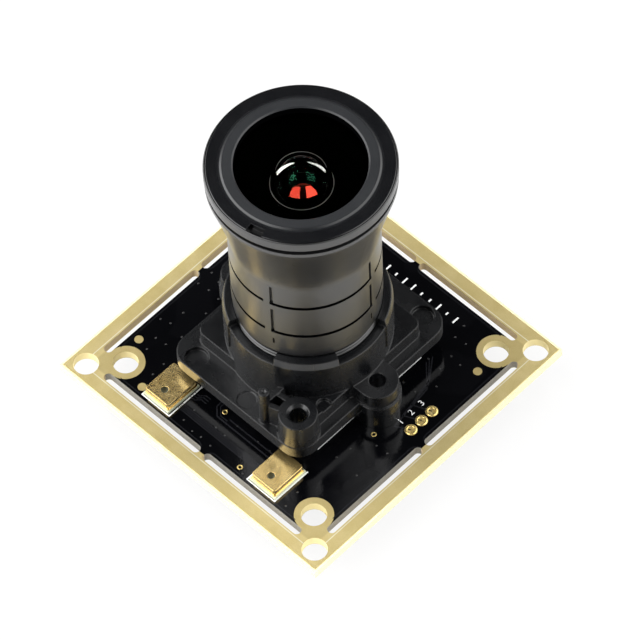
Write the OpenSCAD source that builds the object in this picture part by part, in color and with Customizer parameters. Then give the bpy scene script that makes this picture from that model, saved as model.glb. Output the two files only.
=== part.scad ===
// Board camera: a square circuit board with a snap-off frame, a moulded lens holder,
// a fixed-focus lens with a flared head and two microphones.
// Millimetres. +Z is the way the lens looks. The origin is the centre of the board's
// underside, where the spacers of the mounting screws bear.

/* [Board] */
// Side of the whole square board, frame included
board_side = 38; // [37:0.5:44]
// Thickness of the board over its copper
board_t = 1.2; // [1:0.1:2]
// Width of the snap-off frame
frame_w = 1.9; // [1.6:0.05:2.2]
// Width of the slots between inner board and frame
slot_w = 1; // [0.8:0.1:1.2]
// Board left between a corner of the inner board and the end of a slot
slot_inset = 1.6; // [1.2:0.1:2.2]
// Width of board left between two slots in the middle of a side
tab_w = 0.7; // [0.4:0.1:2]
// Bare laminate outside the frame's copper
edge_bare = 0.26; // [0.1:0.02:0.5]
// Thickness of the copper on each face
copper_t = 0.05; // [0.03:0.01:0.1]

/* [Mounting holes] */
// Distance from the board's edge to the middle of a hole in the frame
outer_inset = 2; // [1.9:0.05:2.4]
// Distance from the inner board's edge to the middle of one of its holes
inner_inset = 2.1; // [2:0.05:3]
// Diameter of all eight mounting holes
hole_d = 2.8; // [2.2:0.1:3]
// Diameter of the gold ring round an inner hole
hole_pad_d = 4.25; // [3.8:0.05:4.4]

/* [Pads on the board] */
// Number of wire pads in the row
wire_pads = 3; // [2:1:4]
// Spacing of the wire pads
wire_pitch = 1.6; // [1.5:0.1:2]
// Distance from the inner board's edge to the row of wire pads
wire_inset = 1.9; // [1.5:0.1:2.5]
// Middle of the row of wire pads along Y
wire_y = 2.2; // [0:0.1:4]
// Diameter of a wire pad
wire_pad_d = 1.4; // [1.2:0.1:1.5]
// Diameter of the hole in a wire pad
wire_hole_d = 0.75; // [0.5:0.05:0.9]
// Diameter of the round alignment marks
mark_d = 1; // [0.6:0.1:1.2]
// Diameter of the ring round an open via
via_d = 0.62; // [0.5:0.02:0.8]
// Diameter of the hole in an open via
via_hole_d = 0.34; // [0.2:0.02:0.4]

/* [Holder] */
// Side of the square block that carries the lens tower
block_side = 17; // [16.6:0.1:17.4]
// Height of the block above the board
block_h = 5.9; // [5.5:0.1:7]
// Width of the flange along X
flange_x = 19.5; // [19:0.1:20]
// Length of the flange along Y
flange_y = 23.3; // [22.6:0.1:24]
// Height of the flange's underside above the board
flange_z = 2.45; // [2:0.05:2.8]
// Thickness of the flange
flange_t = 1.55; // [1.2:0.05:2]
// Radius of the flange's corners
flange_r = 2.3; // [1.5:0.1:2.4]
// Wall of the block round the sensor chamber
holder_wall = 1.3; // [1:0.1:1.6]
// Outer diameter of the lens tower
tower_d = 17.84; // [17.4:0.02:18.2]
// Height of the lens tower above the board
tower_h = 11; // [9.5:0.1:11.4]
// Height of the four raised walls above the tower's rim
rim_wall_h = 1; // [0.5:0.1:1.1]
// Angle that each raised wall covers
rim_wall_a = 45; // [30:1:60]
// How far the raised walls stand out from the tower
rim_wall_out = 0.13; // [0.05:0.01:0.3]
// Spacing of the two screw lugs
lug_pitch = 20; // [20:0.1:20.6]
// Diameter of a screw lug's top
lug_d = 4.6; // [4:0.1:4.8]
// Diameter of the foot that carries a lug on the board
lug_foot_d = 4.1; // [3.8:0.1:4.4]
// Diameter of the self-tapping holes in lugs and bosses
pilot_d = 1.8; // [1.6:0.05:2]
// Diameter of the two corner bosses at the top
boss_d = 4.18; // [3.8:0.02:4.4]
// How much wider a corner boss is at its foot
boss_draft = 0.34; // [0.1:0.02:0.4]
// Height of the corner bosses above the board
boss_h = 7.4; // [6.5:0.1:8.5]
// Diameter of the locating post
post_d = 1.22; // [0.9:0.02:1.4]
// Height of the locating post above the board
post_h = 9.3; // [7.6:0.1:10]
// Thickness of the webs between post, boss and tower
web_t = 0.64; // [0.4:0.02:0.8]
// Depth of the webs' tops below the boss's top
web_drop = 0.05; // [0:0.05:1]
// Diameter of the round recesses in the flange
recess_d = 2.56; // [2:0.02:2.8]
// Depth of the round recesses in the flange
recess_deep = 0.5; // [0.2:0.05:0.8]

/* [Lens body] */
// Diameter of the lens thread
thread_d = 15.7; // [15.5:0.05:15.8]
// Clearance all round between thread and holder
thread_gap = 0.06; // [0.04:0.01:0.1]
// Diameter of the barrel
barrel_d = 16; // [15.9:0.05:16.6]
// Height of the barrel's lower end above the board
barrel_foot = 6.7; // [6.6:0.1:7.5]
// Height above the board where the thread ends and the barrel begins
thread_top = 12.2; // [12.1:0.1:13]
// Depth of the thread, cut back where it stands clear of the tower
thread_deep = 0.3; // [0.2:0.02:0.4]
// Height of the barrel's foot band
foot_band_h = 1.3; // [0.8:0.1:1.6]
// Height above the board where the flare begins
flare_z = 24.5; // [24.3:0.1:27]
// Diameter of the flared head
head_d = 20; // [19.4:0.1:21]
// Height above the board of the head's rim
head_z = 35.8; // [35.4:0.1:37]
// Height of the head's rim band
rim_band_h = 1.2; // [0.8:0.1:1.6]
// Width of the groove below the rim band
rim_groove_w = 0.65; // [0.4:0.05:0.8]
// Depth of the groove below the rim band
rim_groove_deep = 0.6; // [0.3:0.05:0.8]
// Width of the grip grooves
grip_w = 0.45; // [0.3:0.05:0.6]
// Depth of the grip grooves
grip_deep = 0.3; // [0.2:0.05:0.4]
// Width of the upright grooves
upright_w = 0.36; // [0.2:0.02:0.5]
// Angle of plain barrel between two grip panels
grip_strip_a = 7; // [4:1:12]

/* [Glass] */
// Diameter of the front element
front_d = 16.4; // [15.6:0.1:16.8]
// Radius of the front element's outer face
front_r = 28; // [24:0.5:40]
// Radius of the hollow in the front element's back
bowl_r = 3.2; // [2.8:0.05:3.3]
// Straight wall at the foot of that hollow
bowl_wall = 0.9; // [0.1:0.05:1]
// Diameter of the inner elements
inner_d = 11; // [10:0.1:11.6]
// Diameter of the opening that the front ring leaves
window_d = 13.86; // [13:0.02:14.4]
// Depth of the front element's seat below the head's rim
front_depth = 5.8; // [5.6:0.1:6.4]
// Depth of the ledge that carries the inner elements below the head's rim
stack_depth = 18.3; // [17.8:0.1:19]
// Diameter of the aperture
aperture_d = 3.4; // [2:0.1:4.5]
// Radial clearance between glass and its seat
glass_gap = 0.05; // [0.03:0.01:0.08]

/* [Sensor] */
// Side of the sensor package
sensor_side = 9; // [8:0.1:10]
// Thickness of the sensor package
sensor_t = 1.3; // [1.1:0.1:1.6]
// Side of the infrared filter
filter_side = 9.4; // [9:0.1:10]
// Thickness of the infrared filter
filter_t = 0.3; // [0.2:0.05:0.5]

/* [Microphones] */
// Width of a microphone
mic_x = 3.76; // [3.4:0.02:4]
// Length of a microphone
mic_y = 4.72; // [4.4:0.02:5]
// Height of a microphone
mic_h = 1.25; // [1:0.05:1.5]
// Thickness of a microphone's base board
mic_base_t = 0.35; // [0.25:0.05:0.5]
// How far the base stands out round the lid
mic_ledge = 0.17; // [0.1:0.01:0.25]
// Distance of a microphone's centre from the board's centre line
mic_off_x = 7.9; // [7:0.1:9]
// Distance from the inner board's edge to the front edge of a microphone
mic_inset = 0.55; // [0.3:0.05:0.8]
// Width of the brim round the foot of a microphone's lid
mic_brim = 0.1; // [0.04:0.01:0.14]
// Diameter of the sound port
port_d = 0.82; // [0.5:0.02:1]

/* [Underside] */
// Side of the processor
processor_side = 8; // [7:0.5:9]
// Height of the processor
processor_h = 0.9; // [0.7:0.05:1.2]
// Number of contacts in the cable connector
plug_pins = 4; // [4:1:5]
// Spacing of the contacts in the cable connector
plug_pitch = 1.25; // [1.25:0.05:1.5]
// Height of the cable connector
plug_h = 3.4; // [3:0.1:3.8]
// How far the holder's screws reach above the board
screw_reach = 3; // [2.5:0.1:4]
// Diameter of the holder's screws
screw_d = 1.7; // [1.5:0.05:1.75]
// Diameter of the holder's screw heads
screw_head_d = 3.4; // [3:0.1:3.8]
// Height of the holder's screw heads
screw_head_h = 1.2; // [1:0.1:1.5]

/* [Hidden] */

$fn = 96;
eps = 0.01;
top = board_t;                                  // height of the board's upper face
inner_half = board_side / 2 - frame_w - slot_w; // half side of the board that stays
slot_mid = inner_half + slot_w / 2;             // slot centre line
slot_end = tab_w / 2;                           // inner end of each slot
slot_reach = inner_half - slot_inset;           // corner end of each slot
outer_pitch = board_side - 2 * outer_inset;
inner_pitch = 2 * (inner_half - inner_inset);
hole_r = hole_d / 2;

// Heights inside the lens, all above the board's underside
rim_z = top + head_z;                           // top of the barrel's rim
ring_floor = 0.4;                               // web of the head between groove and front ring
ring_t = rim_band_h - ring_floor;               // depth of the front ring in the head
ring_wall = 0.14;                               // rim wall left round the front ring
front_seat = rim_z - ring_t;                    // ledge of glass that the ring bears on
front_floor = rim_z - front_depth;              // floor that the front element sits on
inner_floor = rim_z - stack_depth;              // ledge at the aperture
ledge_t = 1;                                    // thickness of that ledge
rear_ceiling = inner_floor - ledge_t;           // rear face of that ledge
barrel_z = top + barrel_foot;                   // rear end of the barrel

// --- helpers -----------------------------------------------------------------

// One copy of the children in each corner of a square of the given spacing
module corners(pitch) {
    for (sx = [-1, 1], sy = [-1, 1]) translate([sx * pitch / 2, sy * pitch / 2]) children();
}

// Rectangle with round corners, centred
module rounded(w, d, r) {
    square([w - 2 * r, d], center = true);
    square([w, d - 2 * r], center = true);
    for (sx = [-1, 1], sy = [-1, 1]) translate([sx * (w / 2 - r), sy * (d / 2 - r)]) circle(r);
}

// Box standing on z = 0, centred in X and Y
module block(w, d, h) { translate([-w / 2, -d / 2, 0]) cube([w, d, h]); }

// Ring standing on z = 0
module ring(outer_d, bore_d, h) {
    difference() {
        cylinder(d = outer_d, h = h);
        translate([0, 0, -eps]) cylinder(d = bore_d, h = h + 2 * eps);
    }
}

// --- board -------------------------------------------------------------------

// The eight break-away slots, two along each side
module slots() {
    for (side = [0 : 90 : 270], half = [0, 1])
        rotate(side) mirror([half, 0]) {
            length = slot_reach - slot_end;
            translate([slot_end + slot_w / 2, slot_mid - slot_w / 2]) square([length - slot_w, slot_w]);
            translate([slot_end + slot_w / 2, slot_mid]) circle(d = slot_w);
            translate([slot_reach - slot_w / 2, slot_mid]) circle(d = slot_w);
        }
}

module at_wire_pads() {
    for (i = [0 : wire_pads - 1])
        translate([inner_half - wire_inset, wire_y + (i - (wire_pads - 1) / 2) * wire_pitch]) children();
}

// Open vias: between tower and wire pads, and two by the traces in front of the holder
via_spots = [
    [inner_half - 4.4, -2.5],
    [-1.8, 4.85 - inner_half],
    [4.2, 1 - inner_half]
];
// Bare alignment marks near three corners
mark_spots = [
    [1.05 - inner_half, 5.15 - inner_half],
    [5.6 - inner_half, 1.1 - inner_half],
    [inner_half - 1.8, inner_half - 5.3]
];

module at_vias() { for (p = via_spots) translate(p) children(); }
module at_marks() { for (p = mark_spots) translate(p) children(); }
module at_screws() { for (s = [-1, 1]) translate([s * lug_pitch / 2, 0]) children(); }

// Everything cut right through the board
module board_cuts() {
    slots();
    corners(outer_pitch) circle(r = hole_r);
    corners(inner_pitch) circle(r = hole_r);
    at_wire_pads() circle(d = wire_hole_d);
    at_vias() circle(d = via_hole_d, $fn = 32);
}

// Bare gold round the edge: the frame, its bridges to the inner board and the hole rings
module frame_outline() {
    difference() {
        square(board_side - 2 * edge_bare, center = true);
        difference() {
            square(2 * slot_mid, center = true);
            for (turn = [0 : 90 : 270]) rotate(turn) {
                translate([inner_pitch / 2, inner_pitch / 2]) square(slot_mid);
                translate([inner_pitch / 2, inner_pitch / 2]) circle(d = hole_pad_d);
            }
        }
    }
}

module pad_outline() {
    at_wire_pads() circle(d = wire_pad_d);
    at_vias() circle(d = via_d);
}

module copper_outline(marks) {
    difference() {
        union() {
            frame_outline();
            pad_outline();
            if (marks) at_marks() circle(d = mark_d);
        }
        board_cuts();
    }
}

// The masked faces stand level with the copper; the laminate lies one copper thickness lower
module masked_face(marks) {
    linear_extrude(copper_t) difference() {
        square(2 * slot_mid, center = true);
        frame_outline();
        pad_outline();
        if (marks) at_marks() circle(d = mark_d);
        board_cuts();
        at_screws() circle(d = screw_d + 0.5);
    }
}

module circuit_board() {
    color("#141519") union() {
        translate([0, 0, copper_t]) linear_extrude(board_t - 2 * copper_t) difference() {
            square(board_side, center = true);
            board_cuts();
            at_screws() circle(d = screw_d + 0.5);
        }
        translate([0, 0, board_t - copper_t]) masked_face(true);
        masked_face(false);
    }
}

module front_copper() {
    color("#c4b277") translate([0, 0, board_t - copper_t]) linear_extrude(copper_t) copper_outline(true);
}

module back_copper() {
    color("#c4b277") linear_extrude(copper_t) copper_outline(false);
}

// --- lens holder -------------------------------------------------------------

boss_x = flange_x / 2 - flange_r;               // corner bosses are concentric with the corners
boss_y = flange_y / 2 - flange_r;
flange_top = flange_z + flange_t;
lug_edge = 0.25;                                // ledge round a lug at flange level
web_foot = flange_top - 0.5;                    // where bosses, webs and posts start in the flange
web_top = boss_h - web_drop;
bore_d = thread_d + 2 * thread_gap;
floor_z = block_h - 0.6;                        // top of the wall between bore and chamber
floor_t = 1.2;
seat_gap = 0.1;                                 // clearance round the filter
post_x = boss_x - 3.6;
post_y = -boss_y - 1.35;
dimple_d = 0.5;                                 // dimple in the top of a post
thread_relief_z = tower_h - 0.6;                // the exposed thread is cut back from here up
rim_wall_z = tower_h - 3.8;                     // foot of the raised walls

// Front boss, post and round recess are the same again half a turn round
module both_ways() { for (turn = [0, 180]) rotate(turn) children(); }

// Upright web between two points of the board plane
module web(from, to, height) {
    run = to - from;
    translate([from.x, from.y, web_foot]) rotate(atan2(run.y, run.x))
        translate([0, -web_t / 2, 0]) cube([norm(run), web_t, height - web_foot]);
}

module holder_solid() {
    // block and tower
    linear_extrude(block_h) rounded(block_side, block_side, 1);
    cylinder(d = tower_d, h = tower_h);
    // flange with the lug ledges
    translate([0, 0, flange_z]) linear_extrude(flange_t) {
        rounded(flange_x, flange_y, flange_r);
        at_screws() circle(d = lug_d + 2 * lug_edge);
    }
    // screw lugs: foot on the board, D-shaped top level with the block
    at_screws() cylinder(d = lug_foot_d, h = flange_z + eps);
    linear_extrude(block_h) both_ways() translate([lug_pitch / 2, 0]) intersection() {
        union() {
            circle(d = lug_d);
            translate([-lug_d, -lug_d / 2]) square([lug_d, lug_d]);
        }
        translate([-lug_pitch / 2 + block_side / 2 - 1, -lug_d]) square(2 * lug_d);
    }
    both_ways() {
        // corner boss with a little draft
        translate([boss_x, -boss_y, web_foot])
            cylinder(d1 = boss_d + boss_draft, d2 = boss_d, h = boss_h - web_foot);
        // locating post, and webs from it to the boss and to the tower
        translate([post_x, post_y, web_foot]) cylinder(d = post_d, h = post_h - web_foot);
        web([post_x, post_y + 0.1], [boss_x, -boss_y - 0.15], web_top - 0.3);
        web([post_x, post_y], [post_x, -block_side / 2 + 1], web_top);
        // second web from the boss, that meets the one between post and tower
        web([post_x, post_y + 1.75], [boss_x - 0.4, 0.9 - boss_y], web_top - 0.15);
    }
    // raised walls on the tower's rim
    for (turn = [-47 : 90 : 223])
        rotate(turn - rim_wall_a / 2) rotate_extrude(angle = rim_wall_a) polygon([
            [bore_d / 2 - 0.3, rim_wall_z], [tower_d / 2 + rim_wall_out, rim_wall_z],
            [tower_d / 2 + rim_wall_out, tower_h + 0.1], [tower_d / 2 - 0.08, tower_h + rim_wall_h],
            [bore_d / 2 - 0.3, tower_h + rim_wall_h]]);
}

module holder_cuts() {
    // thread bore, window, filter seat and sensor chamber
    translate([0, 0, floor_z]) cylinder(d = bore_d, h = tower_h + rim_wall_h);
    translate([0, 0, floor_z - floor_t - eps]) linear_extrude(floor_t + 2 * eps)
        square(filter_side - 1.4, center = true);
    translate([0, 0, floor_z - floor_t - eps]) linear_extrude(filter_t + eps)
        square(filter_side + 2 * seat_gap, center = true);
    translate([0, 0, -eps]) linear_extrude(floor_z - floor_t + eps)
        rounded(block_side - 2 * holder_wall, block_side - 2 * holder_wall, 0.6);
    // screw holes right through lugs and bosses
    at_screws() translate([0, 0, -eps]) cylinder(d = pilot_d, h = block_h + 1);
    both_ways() translate([boss_x, -boss_y, 0]) {
        cylinder(d = pilot_d, h = boss_h + 1);
        translate([0, 0, boss_h - 0.35]) cylinder(d1 = pilot_d, d2 = pilot_d + 0.6, h = 0.35 + eps);
    }
    both_ways() {
        // round recess, ejector mark and pin mark in the flange
        translate([0.5 - boss_x, -boss_y - 0.73, flange_top - recess_deep]) cylinder(d = recess_d, h = 2);
        translate([post_x - 3.1, post_y + 0.4, flange_top - 0.07]) cylinder(d = 2.2, h = 1);
        translate([post_x + 1.45, post_y - 0.35, flange_top - 0.05]) cylinder(d = 1.1, h = 0.5);
        // half-round pocket at the block's top edge, dimple in the post
        translate([block_side / 2 - 0.5, -6.05, block_h - 0.35]) cylinder(d = 1.6, h = 1);
        translate([post_x, post_y, post_h - 0.1]) cylinder(d1 = dimple_d - 0.2, d2 = dimple_d, h = 0.1 + eps);
    }
}

module lens_holder() {
    color("#1c1e22") translate([0, 0, top]) difference() {
        holder_solid();
        holder_cuts();
    }
}

module holder_screws() {
    color("#b9bcc0") at_screws() {
        cylinder(d = screw_d, h = board_t + screw_reach);
        translate([0, 0, -screw_head_h]) difference() {
            cylinder(d = screw_head_d, h = screw_head_h);
            for (turn = [0, 90]) rotate(turn) translate([-0.9, -0.2, -eps]) cube([1.8, 0.4, 0.7]);
        }
    }
}

// --- lens --------------------------------------------------------------------

// Radius of the flare at a share t of its height: a soft start that runs into a straight cone
flare_blend = 0.3;
function flare_radius(t) = barrel_d / 2
    + (head_d - barrel_d - 0.1) / 2 * (1 + flare_blend) * pow(t, 2) / (t + flare_blend);
flare_top = head_z - rim_band_h - rim_groove_w;
flare_steps = 16;
rim_round = 0.12;                               // rounding of the rim's upper edge

module barrel_solid() {
    rotate_extrude() polygon(concat(
        [[0, barrel_foot], [thread_d / 2 - thread_deep, barrel_foot], [thread_d / 2, barrel_foot + thread_deep],
         [thread_d / 2, thread_relief_z], [thread_d / 2 - thread_deep, thread_relief_z],
         [thread_d / 2 - thread_deep, thread_top], [barrel_d / 2 - 0.08, thread_top],
         [barrel_d / 2 - 0.08, thread_top + foot_band_h], [barrel_d / 2, thread_top + foot_band_h + 0.08]],
        [for (i = [0 : flare_steps]) let (t = i / flare_steps)
            [flare_radius(t), flare_z + (flare_top - 0.5 - flare_z) * t]],
        [[head_d / 2 - 0.05, flare_top], [head_d / 2 - rim_groove_deep, flare_top],
         [head_d / 2 - rim_groove_deep, head_z - rim_band_h], [head_d / 2, head_z - rim_band_h],
         [head_d / 2, head_z - rim_round], [head_d / 2 - 0.35 * rim_round, head_z - 0.3 * rim_round],
         [head_d / 2 - 0.8 * rim_round, head_z], [0, head_z]]));
}

// Two tiers of grip panels, each tier with a groove along its foot. The panels at -30 and
// +150 degrees also have a groove up each end.
grip_tiers = [[15.8, 20.05], [20.9, 24.1]];
grip_tick = [13.8, 14.7];
tick_w = 0.2;

grip_end = (90 - grip_strip_a) / 2;             // angle from a panel's middle to its ends
grip_half = 1.3 * asin(upright_w / barrel_d);   // a groove's foot passes its uprights by this angle

module grip_arc(z, turn, past) {
    span = 2 * (grip_end + past);
    rotate(turn - span / 2) rotate_extrude(angle = span)
        translate([barrel_d / 2 - grip_deep, z]) square([1, grip_w]);
}

module grip_upright(z0, z1, turn, width) {
    rotate(turn) translate([barrel_d / 2 - grip_deep, -width / 2, z0]) cube([1, width, z1 - z0]);
}

module barrel_grip() {
    for (tier = grip_tiers) {
        for (turn = [60, 240]) grip_arc(tier[0], turn, 0);
        for (turn = [-30, 150]) grip_arc(tier[0], turn, grip_half);
        for (turn = [-30, 150], side = [-1, 1])
            grip_upright(tier[0] + grip_w / 2, tier[1], turn + side * grip_end, upright_w);
    }
    for (turn = [-30, 150], side = [-1, 1])
        grip_upright(grip_tick[0], grip_tick[1], turn + side * grip_end, tick_w);
}

module lens_barrel() {
    color("#33353a") difference() {
        translate([0, 0, top]) {
            difference() {
                barrel_solid();
                barrel_grip();
            }
        }
        translate([0, 0, front_seat]) cylinder(d = head_d - 2 * ring_wall, h = ring_t + 1);
        translate([0, 0, front_floor]) cylinder(d = front_d + 2 * glass_gap, h = front_seat - front_floor + eps);
        translate([0, 0, inner_floor]) cylinder(d = inner_d + 2 * glass_gap, h = front_floor - inner_floor + eps);
        translate([0, 0, rear_ceiling - eps]) cylinder(d = aperture_d + 2, h = inner_floor - rear_ceiling + 2 * eps);
        translate([0, 0, barrel_z - eps]) cylinder(d = inner_d + 2 * glass_gap, h = rear_ceiling - barrel_z + eps);
    }
}

// Front ring: pressed into the head, holds the front element; its notch takes the assembly key
lip_z = 0.15;                                   // how far its inner lip stands above its face
lip_w = 1.17;                                   // width of that lip
ring_face = rim_z + 0.06;
notch_turn = -75.2;
notch_a = 10.8;
notch_deep = 0.94;

module front_ring() {
    outer = head_d / 2 - ring_wall - thread_gap;
    color("#1a1c20") difference() {
        rotate_extrude() polygon([
            [window_d / 2, front_seat], [outer, front_seat], [outer, ring_face - 0.08], [outer - 0.08, ring_face],
            [window_d / 2 + lip_w + 0.2, ring_face], [window_d / 2 + lip_w, ring_face + lip_z],
            [window_d / 2 + 0.15, ring_face + lip_z], [window_d / 2, ring_face + lip_z - 0.15]]);
        rotate(notch_turn - notch_a / 2) rotate_extrude(angle = notch_a)
            translate([outer - notch_deep, ring_face - 0.7]) square([notch_deep + 1, 1]);
    }
}

// Front element: a domed glass with a deep round hollow in its back
bowl_z = front_floor + bowl_wall;               // centre of the hollow's round end
dome_top = front_seat + front_r - sqrt(pow(front_r, 2) - pow(window_d / 2 + 0.1, 2));

module front_element() {
    color("#3f5a55") difference() {
        intersection() {
            union() {
                translate([0, 0, front_floor]) cylinder(d = front_d, h = front_seat - front_floor);
                translate([0, 0, front_floor]) cylinder(d = window_d - 0.1, h = dome_top - front_floor + 1);
            }
            union() {
                translate([0, 0, dome_top - front_r]) sphere(r = front_r);
                translate([0, 0, front_floor]) ring(front_d + 1, window_d - 0.12, front_seat - front_floor);
            }
        }
        translate([0, 0, bowl_z]) sphere(r = bowl_r);
        translate([0, 0, front_floor - eps]) cylinder(r = bowl_r, h = bowl_z - front_floor + 2 * eps);
    }
}

land = 1.2;                                     // flat rim of an inner element, where rings bear
inner_clear_d = inner_d - 2 * land;             // diameter of its curved faces

// Depth of a spherical face over the clear diameter
function sag(r) = abs(r) - sqrt(pow(r, 2) - pow(inner_clear_d / 2, 2));

// Lens with flat lands and two spherical faces: a positive radius bulges, a negative is hollow
module lens(z, edge_t, r_up, r_down) {
    translate([0, 0, z]) difference() {
        union() {
            cylinder(d = inner_d, h = edge_t);
            if (r_up > 0) intersection() {
                translate([0, 0, edge_t + sag(r_up) - r_up]) sphere(r = r_up);
                cylinder(d = inner_clear_d, h = edge_t + sag(r_up) + 1);
            }
            if (r_down > 0) intersection() {
                translate([0, 0, r_down - sag(r_down)]) sphere(r = r_down);
                translate([0, 0, -sag(r_down) - 1]) cylinder(d = inner_clear_d, h = sag(r_down) + 1 + edge_t);
            }
        }
        if (r_up < 0) translate([0, 0, edge_t - sag(r_up) - r_up]) sphere(r = -r_up);
        if (r_down < 0) translate([0, 0, sag(r_down) + r_down]) sphere(r = -r_down);
    }
}

// The inner stack stands on the ledge at the aperture and is held down by the front element
stop_t = 0.2;
third_z = inner_floor + stop_t;
third_edge = 2.2;
third_up = 9;
third_down = -14;
middle_h = 2.6;
middle_z = third_z + third_edge;
second_z = middle_z + middle_h;
second_edge = 2.4;
second_up = -16;
second_down = -12;
front_spacer_z = second_z + second_edge;

module aperture_stop() {
    color("#101114") translate([0, 0, inner_floor]) ring(inner_d, aperture_d, stop_t);
}
module third_element() { color("#5a4a44") lens(third_z, third_edge, third_up, third_down); }
module middle_spacer() { color("#15161a") translate([0, 0, middle_z]) ring(inner_d, inner_clear_d + 0.2, middle_h); }
module second_element() { color("#47625a") lens(second_z, second_edge, second_up, second_down); }
module front_spacer() {
    color("#15161a") translate([0, 0, front_spacer_z]) ring(inner_d, 2 * bowl_r + 0.6, front_floor - front_spacer_z);
}

// The rear stack is pushed in from behind and held by a screwed ring
fourth_edge = 2;
fourth_up = -12;
fourth_down = 10;
fourth_z = rear_ceiling - fourth_edge;
rear_gap = 1.6;
fifth_edge = 2.4;
fifth_up = -20;
fifth_down = 15;
fifth_z = fourth_z - rear_gap - fifth_edge;

module fourth_element() { color("#4a5f66") lens(fourth_z, fourth_edge, fourth_up, fourth_down); }
module rear_spacer() {
    color("#15161a") translate([0, 0, fourth_z - rear_gap]) ring(inner_d, inner_clear_d + 0.8, rear_gap);
}
module fifth_element() { color("#4a5f66") lens(fifth_z, fifth_edge, fifth_up, fifth_down); }
module rear_retainer() {
    color("#1a1c20") translate([0, 0, barrel_z + 0.2]) difference() {
        ring(inner_d, inner_clear_d + 0.2, fifth_z - barrel_z - 0.2);
        for (turn = [0, 90]) rotate(turn) translate([-inner_d, -0.5, -eps]) cube([2 * inner_d, 1, 0.8]);
    }
}

module infrared_filter() {
    color("#6b8f96") translate([0, 0, top + floor_z - floor_t]) block(filter_side, filter_side, filter_t);
}

// --- sensor ------------------------------------------------------------------

die_side = sensor_side - 2.6;
lid_t = 0.4;                                    // sensor cover glass
lid_side = sensor_side - 0.8;
well = sensor_t - lid_t - 0.35;                 // depth of the well under the glass

module sensor_package() {
    color("#2b2a2e") translate([0, 0, top]) difference() {
        block(sensor_side, sensor_side, sensor_t);
        translate([0, 0, sensor_t - lid_t]) block(lid_side + 0.1, lid_side + 0.1, 1);
        translate([0, 0, sensor_t - lid_t - well]) block(sensor_side - 1.8, sensor_side - 1.8, 1);
    }
}
module sensor_die() {
    color("#4c4660") translate([0, 0, top + sensor_t - lid_t - well]) block(die_side, die_side * 0.8, 0.3);
}
module sensor_glass() {
    color("#9fb4ad") translate([0, 0, top + sensor_t - lid_t]) block(lid_side, lid_side, lid_t);
}

// --- microphones -------------------------------------------------------------

mic_wall = 0.12;
port_inset = 1.25;                              // from the front edge of the lid to the port
brim_t = 0.12;                                  // thickness of the brim round the lid's foot

module at_microphones() {
    for (s = [-1, 1]) translate([s * mic_off_x, mic_inset + mic_y / 2 - inner_half, top]) children();
}

module microphone_bases() {
    color("#3a3f2a") at_microphones() block(mic_x, mic_y, mic_base_t);
}

module microphone_lids() {
    lid_x = mic_x - 2 * mic_ledge;
    lid_y = mic_y - 2 * mic_ledge;
    lid_h = mic_h - mic_base_t;
    color("#b8a05a") at_microphones() translate([0, 0, mic_base_t]) difference() {
        union() {
            linear_extrude(lid_h) rounded(lid_x, lid_y, 0.3);
            linear_extrude(brim_t) rounded(lid_x + 2 * mic_brim, lid_y + 2 * mic_brim, 0.3);
        }
        translate([0, 0, -eps]) linear_extrude(lid_h - mic_wall + eps)
            rounded(lid_x - 2 * mic_wall, lid_y - 2 * mic_wall, 0.2);
        translate([0, -lid_y / 2 + port_inset, 0]) cylinder(d = port_d, h = mic_h);
    }
}

// --- underside ---------------------------------------------------------------

// Children hang below the board at the given place
module under(x, y, turn = 0) { translate([x, y, 0]) rotate(turn) mirror([0, 0, 1]) children(); }

module processor() {
    color("#1d1e21") under(0.5, -3.5) difference() {
        block(processor_side, processor_side, processor_h);
        translate([-processor_side / 2 + 1, processor_side / 2 - 1, processor_h - 0.05]) cylinder(d = 0.6, h = 1);
    }
}

// Eight-legged memory chip: body between two rows of bent legs
memory_spot = [7.2, 8.2];
memory_w = 3.9;
memory_l = 4.9;
lead_foot = 1.05;

module memory_chip() {
    color("#1d1e21") under(memory_spot.x, memory_spot.y) translate([0, 0, 0.15]) difference() {
        block(memory_l, memory_w, 1.45);
        translate([-memory_l / 2 + 0.8, -memory_w / 2 + 0.8, 1.4]) cylinder(d = 0.6, h = 1);
    }
}

// One bent leg: foot on the board, riser, and shoulder that meets the body at y = 0
module gull_leg(width, rise, reach) {
    translate([-width / 2, 0, 0]) rotate([90, 0, 90]) linear_extrude(width)
        polygon([[0, rise], [0, rise + 0.15], [-reach * 0.5, rise + 0.15], [-reach * 0.62, 0.15],
                 [-reach, 0.15], [-reach, 0], [-reach * 0.5, 0], [-reach * 0.38, rise]]);
}

module memory_leads() {
    color("#c9ccce") under(memory_spot.x, memory_spot.y)
        for (side = [0, 180], i = [0 : 3])
            rotate(side) translate([(i - 1.5) * 1.27, -memory_w / 2, 0]) gull_leg(0.42, 0.75, lead_foot);
}

module clock_crystal() {
    color("#c6c3b4") under(-8.3, 6.4) translate([0, 0, 0.35]) linear_extrude(0.4) rounded(2.8, 2.1, 0.3);
}
module crystal_base() { color("#4b4740") under(-8.3, 6.4) block(3.2, 2.5, 0.35); }

regulator_spots = [[-8.6, -8.2], [8.2, -9.6], [-7.4, 10.4]];
module at_regulators() { for (p = regulator_spots) under(p.x, p.y) children(); }

module regulators() { color("#1d1e21") at_regulators() translate([0, 0, 0.1]) block(2.9, 1.6, 1); }
module regulator_leads() {
    color("#c9ccce") at_regulators() {
        for (x = [-0.95, 0, 0.95]) translate([x, -0.8, 0]) gull_leg(0.4, 0.5, 0.6);
        for (x = [-0.95, 0.95]) rotate(180) translate([x, -0.8, 0]) gull_leg(0.4, 0.5, 0.6);
    }
}

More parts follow.
